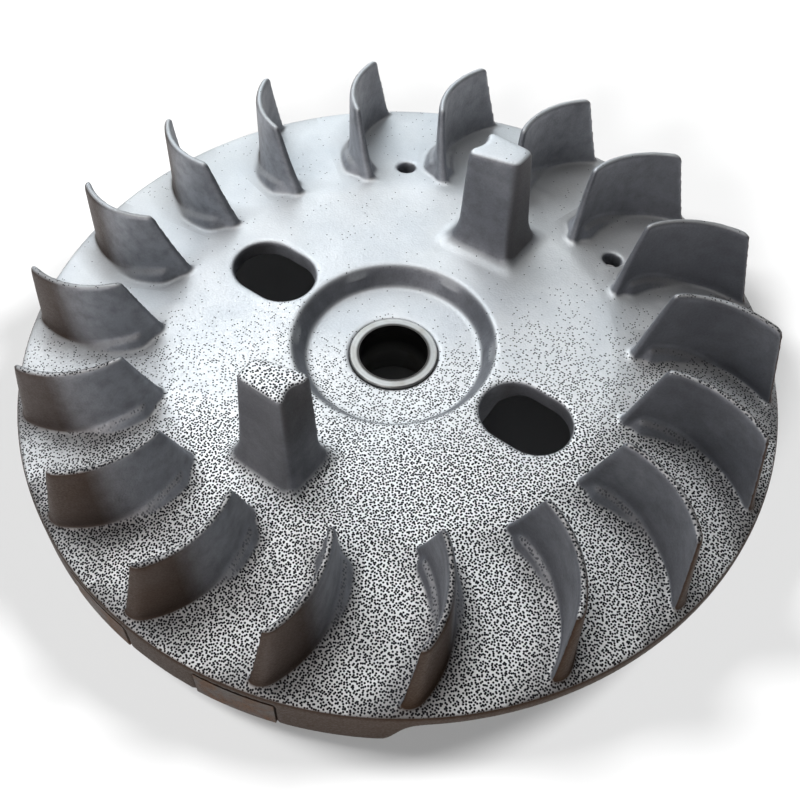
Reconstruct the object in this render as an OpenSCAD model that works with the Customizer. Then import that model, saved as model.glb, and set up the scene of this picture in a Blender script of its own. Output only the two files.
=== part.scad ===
// Magneto fan flywheel of a small air-cooled engine, lying fan side up.
// The origin is on the bore axis, at the back face of the steel hub. +Z points out of the fan side.
// The two slots lie on the X axis, and the two starter dogs on the Y axis.

/* [Disc] */
// Outer diameter of the disc
disc_d = 150; // [140:1:160]
// Height of the rim's upper edge above the back face of the hub
rim_top_z = 14; // [12:0.5:20]
// Thickness of the disc at its rim
rim_t = 3.4; // [2.5:0.1:5]
// Height of the flat middle of the deck above the rim's upper edge
deck_rise = 5; // [3:0.5:8]
// Radius at which the flat deck turns into the sloping outer ring
deck_flat_r = 43.5; // [42:0.5:48]
// Thickness of the deck
deck_t = 4.2; // [3:0.1:6]

/* [Fan blades] */
// Number of blades
blade_count = 18; // [12:1:24]
// Angle of the first blade from the X axis
blade_first_deg = 10; // [0:1:19]
// Thickness of a blade
blade_t = 1.8; // [1.2:0.1:2.5]
// Radius of the blade's curve
blade_curve_r = 20; // [18:0.5:24]
// Height of a blade's outer tip above the rim's upper edge
blade_tip_h = 17.7; // [12:0.1:22]
// Height of a blade's inner corner above the rim's upper edge
blade_inner_h = 20.3; // [14:0.1:24]

/* [Starter dogs] */
// Height of the dogs above the rim's upper edge
dog_h = 29.2; // [22:0.1:34]
// Radius at the middle of a dog
dog_r = 34.7; // [32:0.1:36]
// Radial thickness of a dog at its top
dog_top_t = 7; // [6:0.1:8]
// Width of a dog across its top
dog_top_w = 10.5; // [8:0.1:12]

/* [Hub] */
// Diameter of the tapered bore at its narrow end
bore_small_d = 13.8; // [12:0.1:15]
// Bore taper, as millimetres of length for each millimetre of diameter
taper_ratio = 5; // [4:1:10]
// Length of the plain bore at the narrow end
bore_land_l = 2; // [1.5:0.1:3]
// Width of the keyway
keyway_w = 3; // [2.5:0.1:4]
// Diameter of the hub's steel nose, in the floor of the recess
nose_d = 17.6; // [17:0.1:20]
// Diameter of the hub's steel body, inside the casting
insert_d = 27; // [25:0.5:30]
// Diameter of the recess at its floor
recess_floor_d = 34.8; // [32:0.1:36]
// Diameter of the recess at its mouth
recess_mouth_d = 40.4; // [38:0.1:42]
// Depth of the recess below the deck
recess_depth = 4.2; // [3:0.1:5]

/* [Slots and holes] */
// Distance of each slot's middle from the axis
slot_r = 30.8; // [30:0.1:32]
// Length of a slot, end to end
slot_l = 17.8; // [14:0.1:19]
// Width of a slot
slot_w = 13.3; // [10:0.1:14]
// Diameter of the small holes
hole_d = 3.8; // [2.5:0.1:5]
// Distance of the small holes from the axis
hole_r = 51; // [50:0.5:54]

/* [Magnet and pole shoes] */
// Direction of the middle of the magnet boss
magnet_deg = 274; // [260:1:280]
// How far the magnet boss reaches below the rim's upper edge
boss_depth = 9.8; // [9:0.1:12]
// Length of the magnet boss across its lower face
boss_l = 79; // [70:1:90]
// Number of steel plates in each pole shoe
plate_count = 8; // [4:1:8]
// Thickness of one plate
plate_t = 0.9; // [0.5:0.05:0.95]
// Width of a pole shoe along the rim
shoe_w = 15; // [12:0.5:17]
// Distance between the two pole shoes
magnet_w = 13; // [10:0.5:16]

/* [Hidden] */
$fn = 144;
eps = 0.01;
// Gap all round between the casting and each piece cast into it
seat_gap = 0.05;
// How deep pieces of the casting reach into each other where they join
overlap = 1;

disc_r = disc_d / 2;
deck_z = rim_top_z + deck_rise;
floor_z = deck_z - recess_depth;
rim_bottom_z = rim_top_z - rim_t;
deck_under_z = deck_z - deck_t;

blade_in_r = 46;
blade_in_top_r = 51.4;
blade_out_top_r = 71.1;
blade_out_r = 73.4;
blade_foot = 1.5;
// A blade keeps the part of its round curve that lies further than this from the curve's middle
blade_cut_y = 8;
// Middle of a blade's curve, with the blade's tip on the X axis
blade_curve_x = 57.3;
blade_curve_y = -14.3;

// A dog's hub side is turned by this angle
dog_skew = 15;
// A dog's hub side stays this far out at its foot, where the turned side would cut deeper
dog_heel = 1.2;
// How far a dog's sides have spread at each height: at its foot, above its foot and at its top
dog_flare = [[2.9, deck_z - 1], [1, deck_z + 4.5], [0, rim_top_z + dog_h]];
dog_groove_r = 3;
dog_groove_depth = 1.2;
dog_groove_lean = 9.3;

nose_rise = 0.4;
nose_top_z = floor_z + nose_rise;
nose_l = 3.4;
shoulder_z = nose_top_z - nose_l;
insert_chamfer = 0.6;
nose_chamfer = 0.2;
hub_boss_z = 1.5;
hub_boss_r = 19;
hub_boss_root_r = 23;
// The boss meets the deck over a slope this wide and this high
hub_slope_w = 4;
hub_slope_h = 2;
bore_taper_l = nose_top_z - bore_land_l;
bore_large_d = bore_small_d + bore_taper_l / taper_ratio;
keyway_depth = 1.6;
keyway_deg = 300;
// The keyway ends this far before the plain bore
keyway_stop = 2;
keyway_l = bore_taper_l - keyway_stop;

boss_bottom_z = rim_top_z - boss_depth;
boss_in_r = 57;
// How far the inner side of a block under the rim leans, each way
block_lean = 1;
// How much longer the boss is at each end where it meets the disc
boss_lean = 4.5;
pad_in_r = 61;
pad_l = 34;
pad_lean = 2;
pad_bottom_z = rim_bottom_z - 2.4;
rib_end_r = 54;
rib_t = 3;
rib_bottom_z = rim_bottom_z + 0.8;
shoe_in_r = 61.5;
shoe_mid_r = disc_r - 6;
// The shoes and the magnet lie this far inside the boss's lower face
shoe_inset = 0.3;
shoe_z = boss_bottom_z + shoe_inset;
plate_gap = 0.02;
plate_pitch = plate_t + plate_gap;
stack_h = plate_count * plate_pitch;
// Casting left outside the magnet, and between it and each shoe
magnet_cover = 3;
magnet_side = 1.5;
rivet_d = 2.4;
rivet_r = [64.5, 71];
shoe_sides = [["leading", 1], ["trailing", -1]];

hole_degs = [63.5, 123.5];
pad_deg = magnet_deg - 180;

alloy = [0.78, 0.80, 0.82];
steel = [0.62, 0.62, 0.60];
lamination = [0.38, 0.33, 0.29];
ferrite = [0.20, 0.20, 0.21];

// Height of the deck's upper surface at radius r
function deck_height(r) =
    r < deck_flat_r ? deck_z : deck_z - deck_rise * (r - deck_flat_r) / (disc_r - deck_flat_r);

// Plate number i lies this high
function plate_z(i) = shoe_z + i * plate_pitch;

module disc_body() {
    rotate_extrude()
        polygon([
            [insert_d / 2, hub_boss_z], [hub_boss_r, hub_boss_z],
            [hub_boss_root_r, deck_under_z - hub_slope_h], [hub_boss_root_r + hub_slope_w, deck_under_z],
            [deck_flat_r, deck_under_z], [disc_r, rim_bottom_z], [disc_r, rim_top_z],
            [deck_flat_r, deck_z], [recess_mouth_d / 2, deck_z],
            [recess_floor_d / 2, floor_z], [nose_d / 2, floor_z],
            [nose_d / 2, shoulder_z], [insert_d / 2, shoulder_z]
        ]);
}

// Outline of one blade seen from above: a stretch of a round ring
module blade_outline() {
    translate([blade_curve_x, blade_curve_y])
        intersection() {
            difference() {
                circle(r = blade_curve_r + blade_t / 2);
                circle(r = blade_curve_r - blade_t / 2);
            }
            translate([-2 * blade_curve_r, blade_cut_y])
                square([4 * blade_curve_r, blade_curve_r]);
        }
}

module blades() {
    intersection() {
        for (i = [0 : blade_count - 1])
            rotate(blade_first_deg + i * 360 / blade_count)
                translate([0, 0, rim_bottom_z])
                    linear_extrude(height = dog_h + rim_t)
                        blade_outline();
        rotate_extrude()
            polygon([
                [blade_in_r, deck_height(blade_in_r) - blade_foot],
                [blade_out_r, rim_top_z - blade_foot], [blade_out_r, rim_top_z],
                [blade_out_top_r, rim_top_z + blade_tip_h],
                [blade_in_top_r, rim_top_z + blade_inner_h],
                [blade_in_r, deck_height(blade_in_r)]
            ]);
    }
}

// A slab across the Y axis with its sides at low and high, which spread further down
module flared_slab(low, high) {
    across = 2 * disc_r;
    left = [for (f = dog_flare) [low - f[0], f[1]]];
    right = [for (i = [len(dog_flare) - 1 : -1 : 0]) [high + dog_flare[i][0], dog_flare[i][1]]];
    translate([0, across / 2, 0])
        rotate([90, 0, 0])
            linear_extrude(height = across)
                polygon(concat(left, right));
}

// One starter dog, standing on the X axis. Its hub side is skewed, its foot spreads,
// and a leaning groove hollows the side that faces +Y.
module starter_dog() {
    half_t = dog_top_t / 2;
    half_w = dog_top_w / 2;
    translate([dog_r, 0, 0])
        difference() {
            intersection() {
                flared_slab(-half_t - dog_heel, half_t);
                rotate(90)
                    flared_slab(-half_w, half_w);
                rotate(dog_skew)
                    flared_slab(-half_t, disc_r);
            }
            translate([0, half_w + dog_groove_r - dog_groove_depth, rim_top_z + dog_h])
                rotate([dog_groove_lean, 0, 0])
                    translate([0, 0, -dog_h / 2])
                        cylinder(r = dog_groove_r, h = dog_h);
        }
}

module slot() {
    end_x = (slot_l - slot_w) / 2;
    for (x = [-end_x, end_x])
        translate([x, 0, 0])
            cylinder(d = slot_w, h = deck_z + eps);
    translate([-end_x, -slot_w / 2, 0])
        cube([2 * end_x, slot_w, deck_z + eps]);
}

// Part of a ring on the underside, with its ends leaning outwards towards the disc
module under_segment(in_r, bottom_z, length, lean) {
    top_z = rim_top_z - overlap;
    half = length / 2;
    intersection() {
        rotate_extrude()
            polygon([
                [in_r + block_lean, bottom_z], [disc_r, bottom_z], [disc_r, rim_bottom_z],
                [disc_r - overlap, top_z], [in_r - block_lean, top_z]
            ]);
        rotate([90, 0, 90])
            linear_extrude(height = disc_d)
                polygon([
                    [-half, bottom_z], [half, bottom_z],
                    [half + lean, top_z], [-half - lean, top_z]
                ]);
    }
}

module rib() {
    translate([hub_boss_r, -rib_t / 2, rib_bottom_z])
        cube([rib_end_r - hub_boss_r, rib_t, deck_under_z + overlap - rib_bottom_z]);
}

// Upright block behind the rim, with its outer face on a cylinder of radius out_r
module rim_block(in_r, out_r, width, bottom_z, height) {
    intersection() {
        translate([0, 0, bottom_z])
            cylinder(r = out_r, h = height);
        translate([in_r, -width / 2, bottom_z])
            cube([disc_r, width, height]);
    }
}

// Puts a pole shoe's part beside the magnet. side is 1 or -1.
module at_shoe(side) {
    shoe_deg = 2 * asin((magnet_w + shoe_w) / 4 / shoe_mid_r);
    rotate(magnet_deg + side * shoe_deg)
        children();
}

module magnet_seats() {
    height = stack_h + shoe_inset + seat_gap;
    for (s = shoe_sides)
        at_shoe(s[1])
            rim_block(
                shoe_in_r - seat_gap, disc_r + overlap, shoe_w + 2 * seat_gap,
                boss_bottom_z - eps, height
            );
    rotate(magnet_deg)
        rim_block(
            shoe_in_r - seat_gap, disc_r - magnet_cover, magnet_w - 2 * magnet_side,
            boss_bottom_z - eps, height
        );
}

module flywheel_casting() {
    color(alloy)
        difference() {
            union() {
                disc_body();
                blades();
                for (a = [90, 270])
                    rotate(a)
                        starter_dog();
                rotate(magnet_deg)
                    under_segment(boss_in_r, boss_bottom_z, boss_l, boss_lean);
                rotate(pad_deg)
                    under_segment(pad_in_r, pad_bottom_z, pad_l, pad_lean);
                for (a = [30 : 60 : 330])
                    rotate(a)
                        rib();
            }
            for (a = [0, 180])
                rotate(a)
                    translate([slot_r, 0, 0])
                        slot();
            for (a = hole_degs)
                rotate(a)
                    translate([hole_r, 0, 0])
                        cylinder(d = hole_d, h = deck_z);
            magnet_seats();
        }
}

module hub_insert() {
    color(steel)
        difference() {
            rotate_extrude()
                polygon([
                    [bore_large_d / 2, 0], [insert_d / 2 - insert_chamfer, 0],
                    [insert_d / 2, insert_chamfer],
                    [insert_d / 2, shoulder_z], [nose_d / 2, shoulder_z],
                    [nose_d / 2, nose_top_z - nose_chamfer],
                    [nose_d / 2 - nose_chamfer, nose_top_z],
                    [bore_small_d / 2, nose_top_z], [bore_small_d / 2, bore_taper_l]
                ]);
            rotate(keyway_deg)
                translate([0, -keyway_w / 2, -eps])
                    cube([bore_small_d / 2 + keyway_depth, keyway_w, keyway_l]);
        }
}

module magnet() {
    color(ferrite)
        rotate(magnet_deg)
            rim_block(
                shoe_in_r, disc_r - magnet_cover - seat_gap,
                magnet_w - 2 * (magnet_side + seat_gap),
                shoe_z, stack_h
            );
}

// One lamination of a pole shoe, with its two rivet holes
module pole_plate(side, i) {
    color(lamination)
        at_shoe(side)
            difference() {
                rim_block(shoe_in_r, disc_r, shoe_w, plate_z(i), plate_t);
                for (r = rivet_r)
                    translate([r, 0, plate_z(i) - eps])
                        cylinder(d = rivet_d + 2 * seat_gap, h = plate_t + 2 * eps);
            }
}

module pole_rivets() {
    color(steel)
        for (s = shoe_sides)
            at_shoe(s[1])
                for (r = rivet_r)
                    translate([r, 0, shoe_z])
                        cylinder(d = rivet_d, h = stack_h);
}

flywheel_casting();
hub_insert();
magnet();
pole_rivets();
for (s = shoe_sides, i = [1 : plate_count])
    pole_plate(s[1], i - 1);
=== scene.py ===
"""A cast fan flywheel with its steel hub, rim magnet and pole shoes, on a pale floor in soft studio light."""
import math

import bpy
import numpy as np
import openvdb
from mathutils import Matrix, Vector


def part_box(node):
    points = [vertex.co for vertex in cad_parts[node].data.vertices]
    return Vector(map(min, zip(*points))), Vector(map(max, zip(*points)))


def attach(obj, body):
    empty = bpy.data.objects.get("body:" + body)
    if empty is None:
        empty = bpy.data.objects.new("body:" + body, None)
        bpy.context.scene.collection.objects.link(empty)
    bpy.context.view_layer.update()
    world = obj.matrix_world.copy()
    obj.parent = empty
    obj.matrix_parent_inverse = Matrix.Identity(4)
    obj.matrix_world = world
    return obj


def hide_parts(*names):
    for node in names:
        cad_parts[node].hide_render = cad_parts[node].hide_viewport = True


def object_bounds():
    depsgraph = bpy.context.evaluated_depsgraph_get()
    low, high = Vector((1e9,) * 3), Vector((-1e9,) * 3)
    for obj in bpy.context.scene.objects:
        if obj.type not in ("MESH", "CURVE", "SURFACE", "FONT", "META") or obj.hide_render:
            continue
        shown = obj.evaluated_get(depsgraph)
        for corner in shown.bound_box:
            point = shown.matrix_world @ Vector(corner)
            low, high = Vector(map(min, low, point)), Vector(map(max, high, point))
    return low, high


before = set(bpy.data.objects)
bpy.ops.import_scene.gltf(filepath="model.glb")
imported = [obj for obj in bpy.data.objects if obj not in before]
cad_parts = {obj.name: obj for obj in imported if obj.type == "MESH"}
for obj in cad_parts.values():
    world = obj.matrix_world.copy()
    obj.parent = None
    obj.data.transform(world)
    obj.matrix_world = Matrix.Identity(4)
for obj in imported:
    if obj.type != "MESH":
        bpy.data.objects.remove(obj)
cad_low, cad_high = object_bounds()

# ---------------------------------------------------------------- sizes, in millimetres

MM = 0.001


def top_of(node):
    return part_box(node)[1].z / MM


# The disc: its flat deck slopes down to the rim. Heights start at the hub's back face.
DISC_R = cad_high.x / MM
DOG_TOP_Z = cad_high.z / MM
RIM_Z = DOG_TOP_Z - 29.2
RIM_T = 3.4
RIM_UNDER_Z = RIM_Z - RIM_T
DECK_Z = RIM_Z + 5
DECK_FLAT_R = 43.5
DECK_SLOPE = 0.159
DECK_UNDER_Z = DECK_Z - 4.2

# The round recess, the steel hub that stands in it and the boss round that hub below the deck.
NOSE_Z = top_of("hub_insert")
NOSE_R = 8.8
INSERT_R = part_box("hub_insert")[1].x / MM
SHOULDER_Z = NOSE_Z - 3.4
FLOOR_Z = NOSE_Z - 0.4
RECESS_FLOOR_R = 17.4
RECESS_MOUTH_R = 20.2
HUB_BOSS_R = 19
HUB_BOSS_Z = 1.5

# The blades. The first one's curve is centred at BLADE_CURVE_AT once it is turned back to the X axis.
BLADE_COUNT = 18
BLADE_FIRST_DEG = 10
BLADE_LAG_DEG = -9
BLADE_CURVE_R = 20
BLADE_CURVE_AT = (57.3, -14.3)
BLADE_IN_R = 46
BLADE_OUT_R = 73.4
BLADE_TIP_R = 71.1
BLADE_TIP_H = 17.7
BLADE_INNER_TOP_R = 51.4
BLADE_INNER_H = 20.3
BLADE_TOP_HALF_T = 0.75
BLADE_FOOT_HALF_T = 1.15
PLINTH_START = 1.5
PLINTH_L = 17
PLINTH_H = 2.6
PLINTH_HALF_W = 2.4

# The starter dogs. The skew turns each one's hub side, and the lean tilts the groove in its side.
DOG_R = 34.7
DOG_HALF_T = 3.5
DOG_HALF_W = 5.25
DOG_SKEW = math.tan(math.radians(15))
DOG_FOOT_SPREAD = 1.7
DOG_GROOVE_R = 3
DOG_GROOVE_LEAN = math.tan(math.radians(9.3))

# The openings in the deck. Each small hole's place is its radius and its angle.
SLOT_R = 30.8
SLOT_HALF_W = 6.65
SLOT_HALF_STRAIGHT = 2.25
HOLE_R = 1.9
HOLE_PLACES = ((51, 63.5), (51, 123.5))

# The magnet boss below the rim, with the pad that balances it across the disc.
MAGNET_DEG = 274
MAGNET_W = 13
SHOE_IN_R = 61.5
SHOE_W = 15
SHOE_TOP_Z = top_of("magnet")
SEAT_GAP = 0.05
BOSS_IN_R = 57
BOSS_L = 79
BOSS_BOTTOM_Z = RIM_Z - 9.8
PAD_IN_R = 61
PAD_L = 34
PAD_BOTTOM_Z = RIM_UNDER_Z - 2.4

# The ribs below the deck.
RIB_HALF_T = 1.5
RIB_MIDDLE_R = 36.5
RIB_HALF_L = 17.5

# ---------------------------------------------------------------- the casting's distance field

# The grid that the field is worked out on, in millimetres.
VOXEL = 0.5
MARGIN = 2
AXIS = np.arange(-DISC_R - MARGIN, DISC_R + MARGIN + VOXEL, VOXEL)
HEIGHTS = np.arange(-MARGIN, DOG_TOP_Z + MARGIN + VOXEL, VOXEL)
X, Y = np.meshgrid(AXIS, AXIS, indexing="ij")
RADIUS = np.hypot(X, Y)
ANGLE = np.arctan2(Y, X)


def smooth_min(a, b, width):
    """Joins two solids with a fillet; width is its size in millimetres."""
    share = np.maximum(width - np.abs(a - b), 0) / width
    return np.minimum(a, b) - share * share * width / 4


def smooth_max(a, b, width):
    """Keeps what two solids share, with a rounded edge of that width."""
    return -smooth_min(-a, -b, width)


def rounded(corners, steps=6):
    """The outline through corners (across, up, radius), with an arc of that radius at each."""
    points = [np.array(corner[:2], float) for corner in corners]
    outline = []
    for i, here in enumerate(points):
        radius = corners[i][2]
        if not radius:
            outline.append(tuple(here))
            continue
        back = points[i - 1] - here
        ahead = points[(i + 1) % len(points)] - here
        back /= np.linalg.norm(back)
        ahead /= np.linalg.norm(ahead)
        half = math.acos(np.dot(back, ahead)) / 2
        middle = (back + ahead) / np.linalg.norm(back + ahead)
        centre = here + middle * radius / math.sin(half)
        start = here + back * radius / math.tan(half) - centre
        end = here + ahead * radius / math.tan(half) - centre
        sweep = math.pi - 2 * half
        for k in range(steps + 1):
            t = k / steps
            spoke = start * math.sin((1 - t) * sweep) + end * math.sin(t * sweep)
            outline.append(tuple(centre + spoke / math.sin(sweep)))
    return outline


def outline_distance(outline, u, v):
    """Signed distance of the points (u, v) from a closed outline, negative inside it."""
    nearest = np.full(u.shape, np.inf)
    inside = np.zeros(u.shape, bool)
    for (u0, v0), (u1, v1) in zip(outline, outline[1:] + outline[:1]):
        du, dv = u1 - u0, v1 - v0
        along = np.clip(((u - u0) * du + (v - v0) * dv) / (du * du + dv * dv), 0, 1)
        nearest = np.minimum(nearest, (u - u0 - along * du) ** 2 + (v - v0 - along * dv) ** 2)
        if dv:
            inside ^= ((v0 > v) != (v1 > v)) & (u < u0 + (v - v0) * du / dv)
    return np.where(inside, -1, 1) * np.sqrt(nearest)


def turned(outline):
    """The distance field of an outline, given as radius and height, turned round the Z axis."""
    step = VOXEL / 2
    radii = np.arange(0, RADIUS.max() + 3 * step, step)
    table = outline_distance(outline, *np.meshgrid(radii, HEIGHTS, indexing="ij")).astype(np.float32)
    at = RADIUS / step
    low = at.astype(int)
    share = (at - low).astype(np.float32)[:, :, None]
    return table[low] * (1 - share) + table[low + 1] * share


def column(centre_r, centre_deg, reach):
    """The part of the grid round one place, and its coordinates turned so that the place is on the X axis."""
    a = math.radians(centre_deg)
    at = (centre_r * math.cos(a), centre_r * math.sin(a))
    part = tuple(slice(*np.searchsorted(AXIS, (c - reach, c + reach))) for c in at)
    x, y = X[part][:, :, None], Y[part][:, :, None]
    return part, x * math.cos(a) + y * math.sin(a), y * math.cos(a) - x * math.sin(a)


def disc():
    """The turned body: rim, sloping deck, recess and hub, without the blades or anything else on it."""
    return turned(rounded([
        (INSERT_R, HUB_BOSS_Z, 0), (HUB_BOSS_R, HUB_BOSS_Z, 0.8),
        (HUB_BOSS_R + 4, DECK_UNDER_Z - 2, 1), (HUB_BOSS_R + 8, DECK_UNDER_Z, 3),
        (DECK_FLAT_R, DECK_UNDER_Z, 8), (DISC_R + 5, RIM_UNDER_Z - 0.7, 0), (DISC_R + 5, RIM_Z - 0.8, 0),
        (DECK_FLAT_R, DECK_Z, 12), (RECESS_MOUTH_R, DECK_Z, 0.5), (RECESS_FLOOR_R, FLOOR_Z, 0.8),
        (NOSE_R, FLOOR_Z, 0.15), (NOSE_R, SHOULDER_Z, 0), (INSERT_R, SHOULDER_Z, 0),
    ]))


def blade_distance():
    """How far each column of the grid is from the nearest blade's middle surface, seen from above."""
    pitch = 2 * math.pi / BLADE_COUNT
    start = math.radians(BLADE_LAG_DEG)
    angle = (ANGLE - math.radians(BLADE_FIRST_DEG) - start) % pitch + start
    x, y = RADIUS * np.cos(angle), RADIUS * np.sin(angle)
    side = np.abs(np.hypot(x - BLADE_CURVE_AT[0], y - BLADE_CURVE_AT[1]) - BLADE_CURVE_R)
    return side.astype(np.float32)[:, :, None]


def blades(side):
    """All the blades: thinner towards the top, with a profile that is turned round the axis."""
    half_t = np.interp(HEIGHTS, (RIM_Z, RIM_Z + 20), (BLADE_FOOT_HALF_T, BLADE_TOP_HALF_T))
    return smooth_max(side - half_t.astype(np.float32), turned(rounded([
        (BLADE_IN_R - 0.4, DECK_Z - 3, 0), (BLADE_OUT_R + 0.8, RIM_UNDER_Z, 0), (BLADE_OUT_R, RIM_Z + 0.4, 0),
        (BLADE_TIP_R, RIM_Z + BLADE_TIP_H, 0.8), (BLADE_INNER_TOP_R, RIM_Z + BLADE_INNER_H, 1.2),
        (BLADE_IN_R, DECK_Z, 0),
    ])), 1.0)


def plinths(side):
    """A ledge along each blade's foot, which runs up from the blade's inner end and out along the deck."""
    past = RADIUS.astype(np.float32)[:, :, None] - BLADE_IN_R
    rise = np.minimum(1.1 * (past - PLINTH_START), PLINTH_H - PLINTH_H * (past / PLINTH_L) ** 2)
    top_z = DECK_Z - DECK_SLOPE * past + rise - 0.6 * np.maximum(side - 1, 0)
    below = top_z - HEIGHTS.astype(np.float32)
    half_w = np.minimum(PLINTH_HALF_W, 0.7 + 0.6 * (past - PLINTH_START)) + 0.5 * np.maximum(below, 0)
    ledge = smooth_max((side - half_w) * 0.9, PLINTH_START - past, 0.8)
    return np.maximum(smooth_max(ledge, -below, 0.4), DECK_UNDER_Z + 1 - HEIGHTS)


def starter_dog(body, deg):
    """Adds a dog: its hub side turns as it rises, its foot spreads, and one side has a leaning groove."""
    part, x, y = column(DOG_R, deg, 20)
    u, v = x - DOG_R, y
    knee_z, foot_z = DECK_Z + 4.5, DECK_Z - 1
    curl_z = knee_z + 2
    spread = (DOG_TOP_Z - HEIGHTS) / (DOG_TOP_Z - knee_z)
    spread = spread + DOG_FOOT_SPREAD * np.clip((curl_z - HEIGHTS) / (curl_z - foot_z), 0, 1.5) ** 2
    rise = np.clip((HEIGHTS - foot_z) / (DOG_TOP_Z - foot_z), 0, 1)
    hub_side = -u - DOG_HALF_T - spread - DOG_SKEW * v * rise
    dog = smooth_max(u - DOG_HALF_T - spread, hub_side, 1.5)
    dog = smooth_max(dog, np.abs(v) - DOG_HALF_W - spread, 1.8)
    groove_v = DOG_HALF_W + 1.8 + DOG_GROOVE_LEAN * (DOG_TOP_Z - HEIGHTS)
    dog = smooth_max(dog, DOG_GROOVE_R - np.hypot(u, v - groove_v), 0.5)
    dog = smooth_max(dog, HEIGHTS - DOG_TOP_Z, 0.9)
    dog = np.maximum(dog, DECK_UNDER_Z + 1 - HEIGHTS)
    body[part] = smooth_min(body[part], dog, 2.5)


def under_segment(body, deg, in_r, bottom_z, length, lean):
    """Adds part of a ring below the disc, with ends that lean outwards."""
    top_z = RIM_Z - 1
    ring = turned(rounded([
        (in_r + 1, bottom_z, 1), (DISC_R + 5, bottom_z, 0), (DISC_R + 5, top_z, 0), (in_r - 1, top_z, 0),
    ]))
    a = math.radians(deg)
    x, y = X * math.cos(a) + Y * math.sin(a), Y * math.cos(a) - X * math.sin(a)
    rise = (HEIGHTS - bottom_z) / (top_z - bottom_z)
    ends = (np.abs(y)[:, :, None] - length / 2 - lean * rise) * 0.85
    ends = np.where(x[:, :, None] < 0, 50, ends).astype(np.float32)
    return smooth_min(body, smooth_max(ring, ends, 1.0), 2.0)


def rib(body, deg):
    """Adds a radial rib below the deck."""
    part, x, y = column(38, deg, 22)
    bar = smooth_max(np.abs(y) - RIB_HALF_T, RIM_UNDER_Z + 0.8 - HEIGHTS, 1.0)
    bar = smooth_max(bar, np.abs(x - RIB_MIDDLE_R) - RIB_HALF_L, 1.0)
    bar = np.maximum(bar, HEIGHTS - DECK_Z + 2)
    body[part] = smooth_min(body[part], bar, 1.5)


def slot(body, deg):
    """Cuts a slot with round ends, which points at the axis."""
    part, x, y = column(SLOT_R, deg, 12)
    end = np.maximum(np.abs(x - SLOT_R) - SLOT_HALF_STRAIGHT, 0)
    body[part] = smooth_max(body[part], SLOT_HALF_W - np.hypot(end, y), 0.9)


def round_hole(body, r, deg):
    """Cuts a small round hole through the deck."""
    part, x, y = column(r, deg, 5)
    body[part] = smooth_max(body[part], HOLE_R - np.hypot(x - r, y), 0.5)


def seat(body, deg, width, in_r, out_r):
    """Cuts a pocket for a pole shoe or the magnet, open at the bottom."""
    part, x, y = column(68, deg, 13)
    pocket = np.maximum(np.abs(y) - width / 2, in_r - x)
    pocket = np.maximum(pocket, np.hypot(x, y) - out_r)
    pocket = np.maximum(pocket, HEIGHTS - SHOE_TOP_Z - SEAT_GAP)
    body[part] = np.maximum(body[part], -pocket)


def casting_field():
    """The whole casting's distance field, in millimetres, negative inside the metal."""
    body = disc()
    from_blade = blade_distance()
    body = smooth_min(body, plinths(from_blade), 0.8)
    body = smooth_min(body, blades(from_blade), 0.8)
    body = under_segment(body, MAGNET_DEG, BOSS_IN_R, BOSS_BOTTOM_Z, BOSS_L, 4.5)
    body = under_segment(body, MAGNET_DEG - 180, PAD_IN_R, PAD_BOTTOM_Z, PAD_L, 2)
    for deg in range(30, 360, 60):
        rib(body, deg)
    for deg in (90, 270):
        starter_dog(body, deg)
    for deg in (0, 180):
        slot(body, deg)
    for r, deg in HOLE_PLACES:
        round_hole(body, r, deg)
    body = smooth_max(body, (RADIUS - DISC_R).astype(np.float32)[:, :, None], 0.6)
    shoe_deg = math.degrees(2 * math.asin((MAGNET_W + SHOE_W) / 4 / (DISC_R - 6)))
    for side in (-1, 1):
        seat(body, MAGNET_DEG + side * shoe_deg, SHOE_W + 2 * SEAT_GAP, SHOE_IN_R - SEAT_GAP, DISC_R + 9)
    seat(body, MAGNET_DEG, MAGNET_W - 3, SHOE_IN_R - SEAT_GAP, DISC_R - 3)
    return softened(body)


def softened(field):
    """Rounds every edge a little, as the mould and the blasting leave it."""
    for axis in range(3):
        ahead, back = np.roll(field, -1, axis), np.roll(field, 1, axis)
        field = 0.5 * field + 0.25 * (ahead + back)
    return field


def sampled(field, points):
    """The field between its grid points, at points in millimetres."""
    origin = np.array((AXIS[0], AXIS[0], HEIGHTS[0]))
    at = np.clip((points - origin) / VOXEL, 0, np.array(field.shape) - 1.001)
    low = at.astype(int)
    share = at - low
    total = 0
    for corner in np.ndindex(2, 2, 2):
        weight = np.prod(np.where(corner, share, 1 - share), axis=1)
        total = total + weight * field[tuple((low + corner).T)]
    return total


def slope(field, points):
    """The unit direction in which the field grows fastest."""
    step = 0.8 * VOXEL
    grown = [sampled(field, points + step * e) - sampled(field, points - step * e) for e in np.eye(3)]
    direction = np.stack(grown, axis=1)
    return direction / np.maximum(np.linalg.norm(direction, axis=1), 1e-9)[:, None]


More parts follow.
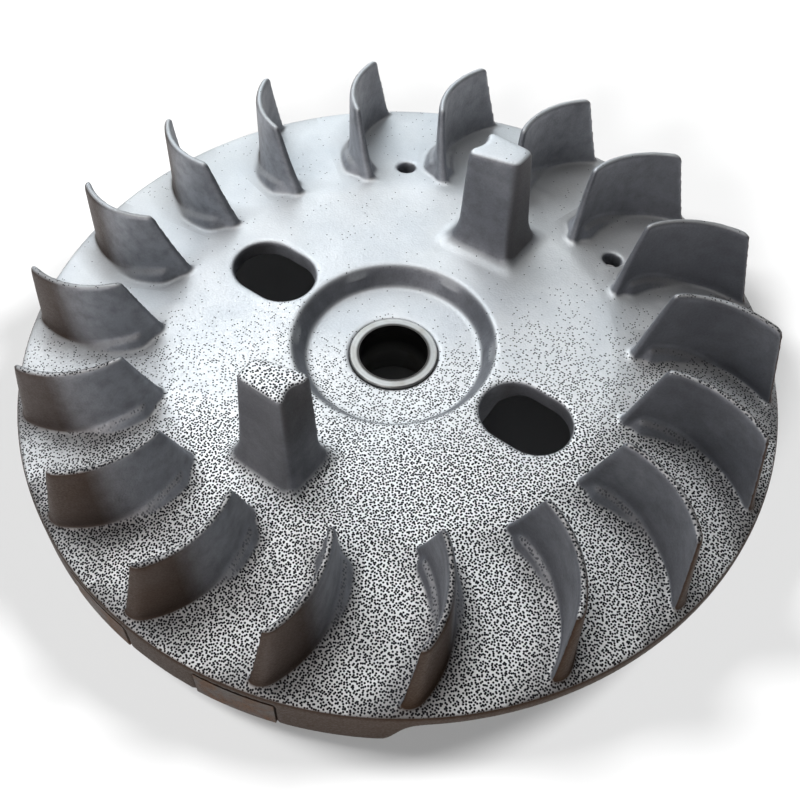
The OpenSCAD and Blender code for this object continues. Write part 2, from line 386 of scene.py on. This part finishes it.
def mesh_of(field, name, most_faces):
    """Meshes the field's zero surface with no more than most_faces triangles, shaded by its slope."""
    grid = openvdb.FloatGrid(4 * VOXEL)
    grid.copyFromArray(np.clip(field, -4 * VOXEL, 4 * VOXEL).astype(np.float32))
    points, _, quads = grid.convertToPolygons(isovalue=0.0, adaptivity=0.0)
    points = points * VOXEL + np.array((AXIS[0], AXIS[0], HEIGHTS[0]))
    dense = bpy.data.meshes.new(name + "_dense")
    dense.from_pydata((points * MM).tolist(), [], quads.tolist())
    holder = bpy.data.objects.new(name + "_dense", dense)
    bpy.context.scene.collection.objects.link(holder)
    thin = holder.modifiers.new("Fewer faces", "DECIMATE")
    thin.ratio = min(1, most_faces / (2 * len(quads)))
    thinned = holder.evaluated_get(bpy.context.evaluated_depsgraph_get())
    mesh = bpy.data.meshes.new_from_object(thinned)
    mesh.name = name
    bpy.data.objects.remove(holder)
    bpy.data.meshes.remove(dense)

    places = np.zeros(len(mesh.vertices) * 3)
    mesh.vertices.foreach_get("co", places)
    places = places.reshape(-1, 3) / MM
    places -= slope(field, places) * sampled(field, places)[:, None]
    mesh.vertices.foreach_set("co", (places * MM).ravel())
    mesh.polygons.foreach_set("use_smooth", [True] * len(mesh.polygons))
    mesh.normals_split_custom_set_from_vertices(slope(field, places).tolist())
    mesh.update()
    return mesh


# ---------------------------------------------------------------- materials

COARSE_SIDE_DEG = -50


class Nodes:
    """Short names for building one material's nodes."""

    def __init__(self, name):
        self.material = bpy.data.materials.new(name)
        self.material.use_nodes = True
        self.tree = self.material.node_tree
        self.shader = self.tree.nodes["Principled BSDF"]
        self.place = self.tree.nodes.new("ShaderNodeTexCoord").outputs["Object"]
        tilted = self.tree.nodes.new("ShaderNodeMapping")
        tilted.inputs["Rotation"].default_value = (0.5, 0.7, 0.3)
        self.link(self.place, tilted.inputs["Vector"])
        self.tilted_place = tilted.outputs["Vector"]

    def link(self, out, to):
        self.tree.links.new(out, to)

    def noise(self, size_mm, detail=2):
        """Cloudy noise, about 0.5 on average, tilted so that its grid lines up with no face."""
        node = self.tree.nodes.new("ShaderNodeTexNoise")
        node.inputs["Scale"].default_value = 1 / (size_mm * MM)
        node.inputs["Detail"].default_value = detail
        self.link(self.tilted_place, node.inputs["Vector"])
        return node.outputs["Fac"]

    def rings(self, size_mm):
        """Noise that changes only with distance from the axis and with height, as turning marks do."""
        place = self.tree.nodes.new("ShaderNodeCombineXYZ")
        self.link(self.distance_to_axis(), place.inputs["X"])
        self.link(self.axis("Z"), place.inputs["Y"])
        node = self.tree.nodes.new("ShaderNodeTexNoise")
        node.inputs["Scale"].default_value = 1 / (size_mm * MM)
        self.link(place.outputs["Vector"], node.inputs["Vector"])
        return node.outputs["Fac"]

    def dots(self, spacing_mm):
        """Dots seen from above: the distance to the nearest one's middle, and a random number for each."""
        node = self.tree.nodes.new("ShaderNodeTexVoronoi")
        node.voronoi_dimensions = "2D"
        node.inputs["Scale"].default_value = 1 / (spacing_mm * MM)
        node.inputs["Randomness"].default_value = 0.85
        self.link(self.place, node.inputs["Vector"])
        return node.outputs["Distance"], node.outputs["Color"]

    def axis(self, letter):
        """One coordinate of the surface point, in metres."""
        node = self.tree.nodes.new("ShaderNodeSeparateXYZ")
        self.link(self.place, node.inputs["Vector"])
        return node.outputs[letter]

    def distance_to_axis(self):
        return self.length(self.axis("X"), self.axis("Y"))

    def length(self, x, y):
        """The length of the arrow (x, y)."""
        return self.math("SQRT", self.math("ADD", self.product(x, x), self.product(y, y)), 0)

    def facing(self, letter):
        """How far the surface faces along one axis: 1 straight along it, -1 the other way."""
        node = self.tree.nodes.new("ShaderNodeNewGeometry")
        split = self.tree.nodes.new("ShaderNodeSeparateXYZ")
        self.link(node.outputs["Normal"], split.inputs["Vector"])
        return split.outputs[letter]

    def ramp(self, value, low, high, to_low=0.0, to_high=1.0):
        """Value, from low..high to to_low..to_high; each may be a number or a node's output."""
        node = self.tree.nodes.new("ShaderNodeMapRange")
        self.link(value, node.inputs["Value"])
        for name, number in (("From Min", low), ("From Max", high), ("To Min", to_low), ("To Max", to_high)):
            if isinstance(number, (int, float)):
                node.inputs[name].default_value = number
            else:
                self.link(number, node.inputs[name])
        return node.outputs["Result"]

    def step(self, value, edge, softness):
        """0 where value is below edge and 1 where it is above, with a soft change between."""
        return self.ramp(value, self.math("SUBTRACT", edge, softness), self.math("ADD", edge, softness))

    def product(self, first, *others):
        for value in others:
            first = self.math("MULTIPLY", first, value)
        return first

    def math(self, operation, a, b):
        """One Math node; a and b may be numbers or nodes' outputs."""
        node = self.tree.nodes.new("ShaderNodeMath")
        node.operation = operation
        for value, socket in zip((a, b), node.inputs):
            if isinstance(value, (int, float)):
                socket.default_value = value
            else:
                self.link(value, socket)
        return node.outputs["Value"]

    def mix(self, share, a, b):
        """Colour a, and colour b where share is 1."""
        node = self.tree.nodes.new("ShaderNodeMix")
        node.data_type = "RGBA"
        self.link(share, node.inputs["Factor"])
        for value, socket in zip((a, b), (node.inputs[6], node.inputs[7])):
            if isinstance(value, tuple):
                socket.default_value = (*value, 1)
            else:
                self.link(value, socket)
        return node.outputs[2]

    def bump(self, height, distance_mm, strength=1.0, under=None):
        """A normal with relief from height, on top of the relief called under."""
        node = self.tree.nodes.new("ShaderNodeBump")
        node.inputs["Distance"].default_value = distance_mm * MM
        node.inputs["Strength"].default_value = strength
        self.link(height, node.inputs["Height"])
        if under:
            self.link(under, node.inputs["Normal"])
        return node.outputs["Normal"]

    def set(self, **sockets):
        """Sets the shader's sockets to numbers, colours or nodes' outputs, and returns the material."""
        for name, value in sockets.items():
            socket = self.shader.inputs[name.replace("_", " ")]
            if isinstance(value, (int, float)):
                socket.default_value = value
            elif isinstance(value, tuple):
                socket.default_value = (*value, 1)
            else:
                self.link(value, socket)
        return self.material


def distance_to_blade(n):
    """How far a point is from the nearest blade's middle surface, seen from above, in metres."""
    pitch = 2 * math.pi / BLADE_COUNT
    turn = n.math("ARCTAN2", n.axis("Y"), n.axis("X"))
    turn = n.math("SUBTRACT", turn, math.radians(BLADE_FIRST_DEG + BLADE_LAG_DEG))
    turn = n.math("ADD", n.math("FLOORED_MODULO", turn, pitch), math.radians(BLADE_LAG_DEG))
    r = n.distance_to_axis()
    x = n.math("SUBTRACT", n.product(r, n.math("COSINE", turn, 0)), BLADE_CURVE_AT[0] * MM)
    y = n.math("SUBTRACT", n.product(r, n.math("SINE", turn, 0)), BLADE_CURVE_AT[1] * MM)
    return n.math("ABSOLUTE", n.math("SUBTRACT", n.length(x, y), BLADE_CURVE_R * MM), 0)


def towards_coarse_side(n, mottle):
    """How far a point lies towards the coarsely blasted side, in metres; mottle makes the border ragged. The
    painted light and shade are laid out along it too.
    """
    a = math.radians(COARSE_SIDE_DEG)
    along = n.math("ADD", n.product(n.axis("X"), math.cos(a)), n.product(n.axis("Y"), math.sin(a)))
    return n.math("ADD", along, n.ramp(mottle, 0.3, 0.7, -8 * MM, 8 * MM))


def pitting(n, coarse_and_painted_light):
    """0 in the pits and 1 between them. They grow in size and number towards the coarsely blasted side, on
    upward faces only.
    """
    from_pit, chance = n.dots(0.5)
    between = n.step(from_pit, n.ramp(coarse_and_painted_light, 0, 1, 0.24, 0.39), 0.05)
    without = n.step(chance, n.ramp(coarse_and_painted_light, 0, 0.95, 0.1, 1.0), 0.01)
    upright = n.ramp(n.facing("Z"), 0.7, 0.5)
    return n.math("MAXIMUM", n.math("MAXIMUM", between, without), upright)


def blasted_metal_with_painted_light(n, toward, coarse_and_painted_light, mottle, smudge):
    """The bright metal of upward faces, with painted shade near the rim and round the blades' feet, and
    painted light towards the coarsely blasted side.
    """
    r = n.distance_to_axis()
    colour = n.mix(n.ramp(mottle, 0.35, 0.65), (0.66, 0.685, 0.71), (0.76, 0.775, 0.79))
    colour = n.mix(n.ramp(smudge, 0.45, 0.75, 0, 0.5), colour, (0.66, 0.65, 0.63))
    # Paler metal towards the coarsely blasted side: partly the blasting, partly painted light.
    colour = n.mix(coarse_and_painted_light, colour, (0.95, 0.95, 0.95))
    # Painted shade: dark patches near the rim on the -Y side.
    painted_rim_shade = n.product(
        n.ramp(n.noise(11, detail=3), 0.4, 0.58),
        n.ramp(r, 50 * MM, 58 * MM),
        n.ramp(n.axis("Y"), -36 * MM, -60 * MM, 0, 0.3),
    )
    colour = n.mix(painted_rim_shade, colour, (0.12, 0.11, 0.105))
    # Painted shade round the blades' feet, heavier towards the coarsely blasted side.
    painted_foot_shade = n.product(
        n.ramp(distance_to_blade(n), 7 * MM, 2 * MM),
        n.ramp(r, 45 * MM, 50 * MM),
        n.ramp(mottle, 0.3, 0.6, 0.3, 0.75),
        n.ramp(toward, -60 * MM, 0, 0.3, 1.0),
    )
    return n.mix(painted_foot_shade, colour, (0.17, 0.155, 0.15))


def blade_painted_light(n, skin, toward):
    """Paints the blades' round sides paler and the skin away from the coarsely blasted side paler, as painted
    light, and the blades' hollow sides darker, as painted shade.
    """
    pale, dark = (0.51, 0.53, 0.57), (0.11, 0.115, 0.13)
    across = n.product(n.axis("X"), n.facing("Y"))
    roundness = n.math("SUBTRACT", across, n.product(n.axis("Y"), n.facing("X")))
    on_blades = n.ramp(n.distance_to_axis(), 42 * MM, 46 * MM)
    skin = n.mix(n.product(on_blades, n.ramp(roundness, 4 * MM, 25 * MM, 0, 0.7)), skin, pale)
    skin = n.mix(n.ramp(toward, -20 * MM, -60 * MM, 0, 0.3), skin, pale)
    hollow = n.product(
        on_blades,
        n.ramp(roundness, -4 * MM, -25 * MM),
        n.ramp(toward, -45 * MM, -15 * MM, 0, 0.55),
        n.ramp(toward, 5 * MM, 35 * MM, 1, 0.2),
    )
    return n.mix(hollow, skin, dark)


def dog_painted_shade(n, toward):
    """Where painted shade darkens the dogs: thickly on the sides that face along X, thinly on the outer ones.
    """
    r = n.distance_to_axis()
    high_or_far = n.math(
        "MAXIMUM",
        n.ramp(n.axis("Z"), 26 * MM, 38 * MM),
        n.ramp(n.axis("Y"), -5 * MM, 5 * MM),
    )
    grooved_side = n.product(high_or_far, n.ramp(n.facing("X"), 0.3, 0.8, 0, 0.65))
    outer_side = n.product(n.ramp(toward, 0, 25 * MM, 0, 0.3), n.ramp(n.facing("X"), 0.8, 0.3))
    painted_dog_shade = n.math("MAXIMUM", outer_side, grooved_side)
    return n.product(painted_dog_shade, n.ramp(r, 46 * MM, 42 * MM), n.ramp(r, 21 * MM, 25 * MM))


def brown_painted_reflection(n, toward, smudge):
    """Where a brown reflection of the surroundings is painted onto the outward faces of the blades and the
    rim.
    """
    across = n.product(n.axis("X"), n.facing("X"))
    outward = n.math("ADD", across, n.product(n.axis("Y"), n.facing("Y")))
    return n.product(
        n.ramp(outward, 2 * MM, 26 * MM),
        n.ramp(smudge, 0.25, 0.55, 0.92, 1.0),
        n.ramp(n.distance_to_axis(), 55 * MM, 66 * MM),
        n.ramp(toward, 20 * MM, 60 * MM, 0.92, 1.0),
    )


def casting_skin_with_painted_light(n, toward, mottle, smudge):
    """The grey skin that the mould leaves on upright and lower faces, with painted light, painted shade and a
    painted brown reflection mixed in.
    """
    skin = n.mix(n.ramp(mottle, 0.35, 0.65), (0.20, 0.206, 0.228), (0.31, 0.321, 0.348))
    # Painted light and shade on the blades.
    skin = blade_painted_light(n, skin, toward)
    # Painted shade on the dogs' sides.
    skin = n.mix(dog_painted_shade(n, toward), skin, (0.09, 0.078, 0.07))
    skin = n.mix(n.ramp(n.noise(2.5, detail=4), 0.4, 0.7, 0, 0.35), skin, (0.12, 0.12, 0.13))
    # Painted reflection: brown on the outward faces of the blades and the rim.
    skin = n.mix(brown_painted_reflection(n, toward, smudge), skin, (0.043, 0.022, 0.0105))
    # Downward faces darker: partly the as-cast underside, partly painted shade that keeps the space under the
    # deck dark through the slots.
    return n.mix(n.ramp(n.facing("Z"), -0.6, -0.9), skin, (0.15, 0.15, 0.155))


def blasted_aluminium():
    """Cast aluminium: blasted bright and pitted on top, with the darker casting skin left elsewhere, which is
    partly painted shade on the sides.
    """
    n = Nodes("blasted_aluminium")
    up = n.facing("Z")
    grain = n.noise(0.4, detail=1)
    mottle = n.noise(14, detail=4)
    smudge = n.noise(45, detail=3)

    toward = towards_coarse_side(n, mottle)
    # This mask drives the blasting and also the painted light that makes this side paler.
    coarse_and_painted_light = n.product(n.ramp(toward, -14 * MM, 36 * MM), n.ramp(up, 0.5, 0.8))
    pit = pitting(n, coarse_and_painted_light)
    metal = n.mix(pit, (0.015, 0.015, 0.018), blasted_metal_with_painted_light(n, toward, coarse_and_painted_light, mottle, smudge))
    skin = casting_skin_with_painted_light(n, toward, mottle, smudge)

    pits = n.bump(pit, 0.08, 0.5)
    rough = n.bump(grain, 0.1, 0.4, under=pits)
    waves = n.bump(n.noise(5, detail=3), 0.25, 0.3, under=rough)
    return n.set(
        # Pale metal on upward faces and darker skin on the rest: partly real blasting and skin, partly
        # painted shade.
        Base_Color=n.mix(n.ramp(up, 0.55, 0.92), skin, metal), Metallic=0.8, Normal=waves,
        Roughness=n.ramp(grain, 0.3, 0.7, 0.68, 0.52),
    )


def turned_steel():
    """Lathe-turned steel: fine rings round the axis, and a bore painted dark as painted shade."""
    n = Nodes("turned_steel")
    lines = n.rings(0.3)
    worn = n.noise(5, detail=3)
    steel = n.mix(lines, (0.36, 0.36, 0.35), (0.52, 0.52, 0.51))
    steel = n.mix(n.ramp(worn, 0.5, 0.7, 0, 0.6), steel, (0.30, 0.27, 0.23))
    # Painted shade: the inside of the bore is painted near black.
    bore = n.mix(lines, (0.05, 0.047, 0.045), (0.09, 0.085, 0.08))
    colour = n.mix(n.ramp(n.distance_to_axis(), 7.2 * MM, 7.6 * MM), bore, steel)
    return n.set(
        Base_Color=colour, Metallic=1.0, Normal=n.bump(lines, 0.03, 0.6),
        Roughness=n.ramp(worn, 0.3, 0.7, 0.30, 0.46),
    )


def lamination_steel():
    """Stamped silicon steel, brown with thin rust that is thicker in patches."""
    n = Nodes("lamination_steel")
    rust = n.noise(3, detail=4)
    grain = n.noise(0.35, detail=1)
    colour = n.mix(n.ramp(rust, 0.4, 0.62), (0.070, 0.052, 0.043), (0.125, 0.070, 0.042))
    colour = n.mix(n.ramp(grain, 0.3, 0.5, 0.7, 0), colour, (0.035, 0.026, 0.022))
    return n.set(
        Base_Color=colour, Metallic=0.6, Normal=n.bump(grain, 0.08, 0.5),
        Roughness=n.ramp(rust, 0.35, 0.65, 0.48, 0.75),
    )


def rivet_steel():
    """Headed rivet steel, with a few dark rust specks."""
    n = Nodes("rivet_steel")
    specks = n.noise(0.8, detail=3)
    colour = n.mix(n.ramp(specks, 0.55, 0.65), (0.32, 0.30, 0.28), (0.10, 0.065, 0.045))
    return n.set(
        Base_Color=colour, Metallic=0.9, Normal=n.bump(specks, 0.06, 0.5),
        Roughness=n.ramp(specks, 0.35, 0.65, 0.36, 0.6),
    )


def ferrite():
    """Pressed ferrite: dark, slightly shiny, with fine pores and paler dust."""
    n = Nodes("ferrite")
    pores = n.noise(0.3, detail=1)
    dust = n.noise(4, detail=3)
    colour = n.mix(n.ramp(dust, 0.45, 0.7), (0.035, 0.035, 0.038), (0.085, 0.08, 0.078))
    colour = n.mix(n.ramp(pores, 0.25, 0.35), (0.012, 0.012, 0.013), colour)
    return n.set(
        Base_Color=colour, Metallic=0.0, Normal=n.bump(pores, 0.06, 0.5),
        Roughness=n.ramp(dust, 0.35, 0.65, 0.45, 0.7),
    )


# ---------------------------------------------------------------- the pieces

MOST_FACES = 190_000


def make_casting():
    """The detailed casting, which stands for the plain CAD one."""
    mesh = mesh_of(casting_field(), "casting", MOST_FACES)
    piece = bpy.data.objects.new("cast_fan_wheel", mesh)
    bpy.context.scene.collection.objects.link(piece)
    mesh.materials.append(blasted_aluminium())
    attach(piece, "root")
    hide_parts("flywheel_casting")


def finish_nodes():
    """Gives each CAD node that still shows its own finish."""
    finishes = {
        "hub_insert": turned_steel(), "magnet": ferrite(),
        "pole_plate": lamination_steel(), "pole_rivets": rivet_steel(),
    }
    for name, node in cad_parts.items():
        for start, finish in finishes.items():
            if name.startswith(start):
                node.data.materials.clear()
                node.data.materials.append(finish)


# ---------------------------------------------------------------- the stage


def make_floor():
    """A pale floor, a little below the hub so that the two don't share a plane."""
    size = 6.0
    mesh = bpy.data.meshes.new("floor")
    z = -0.2 * MM
    corners = [(-size, -size, z), (size, -size, z), (size, size, z), (-size, size, z)]
    mesh.from_pydata(corners, [], [(0, 1, 2, 3)])
    floor = bpy.data.objects.new("floor", mesh)
    bpy.context.scene.collection.objects.link(floor)
    n = Nodes("floor_paper")
    mesh.materials.append(n.set(Base_Color=(0.45, 0.45, 0.45), Roughness=0.9))
    return floor


def make_camera():
    """The camera looks down at the fan side, from between a dog and a slot."""
    azimuth, elevation, roll = math.radians(40), math.radians(54.165), math.radians(-2.238)
    # The camera's place, in disc radii from the middle of the rim's plane.
    distance, aside, above = 3.0043, -0.1312, -0.1355
    back = Vector((0, -math.cos(elevation), math.sin(elevation)))
    up = Vector((0, math.sin(elevation), math.cos(elevation)))
    right = Vector((1, 0, 0))
    right, up = (
        right * math.cos(roll) + up * math.sin(roll),
        up * math.cos(roll) - right * math.sin(roll),
    )
    axes = Matrix((right, up, back)).transposed().to_4x4()
    axes.translation = (back * distance + right * aside + up * above) * DISC_R * MM
    data = bpy.data.cameras.new("camera")
    data.lens = 50.56
    data.shift_x = 0.0696
    data.shift_y = 0.008
    data.clip_start = 0.01
    camera = bpy.data.objects.new("camera", data)
    camera.matrix_world = Matrix.Translation((0, 0, RIM_Z * MM)) @ Matrix.Rotation(azimuth, 4, "Z") @ axes
    bpy.context.scene.collection.objects.link(camera)
    bpy.context.scene.camera = camera


def add_softbox(name, toward_deg, elevation_deg, power, colour, receivers):
    """A square light that faces the flywheel from a compass direction and lights only the receivers."""
    size, distance = 0.6, 1.0
    a, e = math.radians(toward_deg), math.radians(elevation_deg)
    data = bpy.data.lights.new(name, "AREA")
    data.size = size
    data.energy = power
    data.color = colour
    light = bpy.data.objects.new(name, data)
    away = Vector((math.cos(a) * math.cos(e), math.sin(a) * math.cos(e), math.sin(e)))
    light.location = away * distance + Vector((0, 0, DECK_Z * MM))
    light.rotation_euler = away.to_track_quat("Z", "Y").to_euler()
    light.light_linking.receiver_collection = receivers
    bpy.context.scene.collection.objects.link(light)


def add_sun(name, toward_deg, elevation_deg, receivers):
    """Soft, even light from one direction that lights only the receivers."""
    data = bpy.data.lights.new(name, "SUN")
    data.energy = 4.6
    data.angle = math.radians(20)
    light = bpy.data.objects.new(name, data)
    light.rotation_euler = (0, math.radians(90 - elevation_deg), math.radians(toward_deg))
    light.light_linking.receiver_collection = receivers
    bpy.context.scene.collection.objects.link(light)


def only(piece):
    """A collection of receivers that holds this piece alone."""
    receivers = bpy.data.collections.new("only_" + piece.name)
    receivers.objects.link(piece)
    return receivers


def all_but(piece):
    """A collection of receivers that leaves this piece out."""
    receivers = bpy.data.collections.new("all_but_" + piece.name)
    receivers.objects.link(piece)
    receivers.collection_objects[0].light_linking.link_state = "EXCLUDE"
    return receivers


def make_backdrop(tree):
    """A white backdrop to look at, which sheds only a little light."""
    background = tree.nodes["Background"]
    background.inputs["Color"].default_value = (0.9, 0.95, 1.0, 1)
    background.inputs["Strength"].default_value = 0.05
    white = tree.nodes.new("ShaderNodeBackground")
    white.inputs["Color"].default_value = (1, 1, 1, 1)
    share = tree.nodes.new("ShaderNodeMixShader")
    seen = tree.nodes.new("ShaderNodeLightPath")
    tree.links.new(seen.outputs["Is Camera Ray"], share.inputs["Fac"])
    tree.links.new(background.outputs["Background"], share.inputs[1])
    tree.links.new(white.outputs["Background"], share.inputs[2])
    tree.links.new(share.outputs["Shader"], tree.nodes["World Output"].inputs["Surface"])


def light_stage(floor):
    """Softboxes for the flywheel and even light for the floor, against a white backdrop."""
    world = bpy.data.worlds.new("studio")
    bpy.context.scene.world = world
    world.use_nodes = True
    make_backdrop(world.node_tree)
    bpy.context.scene.view_settings.view_transform = "Standard"
    flywheel = all_but(floor)
    add_softbox("back", 130, 30, 2.4, (0.86, 0.95, 1.0), flywheel)
    add_softbox("window", 160, 50, 2.7, (0.91, 0.96, 1.0), flywheel)
    add_softbox("left", 190, 50, 1.9, (0.93, 0.97, 1.0), flywheel)
    add_softbox("top", 130, 80, 2.6, (1, 1, 1), flywheel)
    add_softbox("front", 268, 28, 3.6, (1.0, 0.96, 0.95), flywheel)
    paper = only(floor)
    for toward, elevation in ((60, 42), (200, 42), (285, 24)):
        add_sun("floor_light", toward, elevation, paper)


make_camera()
light_stage(make_floor())
make_casting()
finish_nodes()
